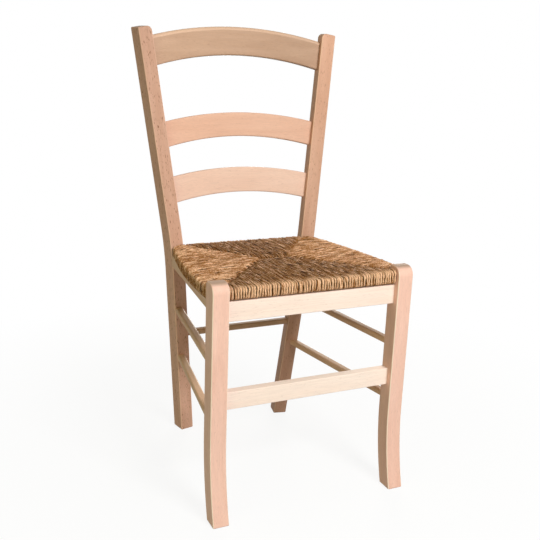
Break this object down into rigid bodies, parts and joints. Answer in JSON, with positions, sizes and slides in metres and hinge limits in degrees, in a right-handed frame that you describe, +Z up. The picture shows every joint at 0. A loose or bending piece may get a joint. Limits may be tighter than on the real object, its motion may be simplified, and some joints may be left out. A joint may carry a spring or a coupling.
{
  "type": "rush-seated dining chair",
  "caption": "Ladder-back dining chair in raw beech, with arched back slats, swept front feet, slim stretchers and a woven rush seat, for one person at a table.",
  "frame": {"origin": "on the floor, under the middle of the chair's outline box", "axes": "+Z up, -Y to the front of the chair, +X to the right of a person who faces it"},
  "size_m": [0.4562, 0.4576, 0.8897],
  "materials": {
    "beech": "raw sanded beech",
    "frame_wood": "raw sawn wood",
    "rush": "twisted rush cord",
    "straw": "packed straw",
    "screw_steel": "bright zinc"
  },
  "bodies": {
    "root": {"front_leg_left": "beech", "front_leg_right": "beech", "rear_post_left": "beech", "rear_post_right": "beech", "crest_rail": "beech", "middle_slat": "beech", "lower_slat": "beech", "front_apron": "beech", "rear_apron": "beech", "left_apron": "beech", "right_apron": "beech", "front_stretcher": "beech", "rear_stretcher": "beech", "left_upper_stretcher": "beech", "left_lower_stretcher": "beech", "right_upper_stretcher": "beech", "right_lower_stretcher": "beech", "seat_rail_front": "frame_wood", "seat_rail_rear": "frame_wood", "seat_rail_left": "frame_wood", "seat_rail_right": "frame_wood", "seat_frame_dowels": "frame_wood", "rush_weave": "rush", "seat_stuffing": "straw", "seat_screws": "screw_steel"}
  },
  "joints": []
}
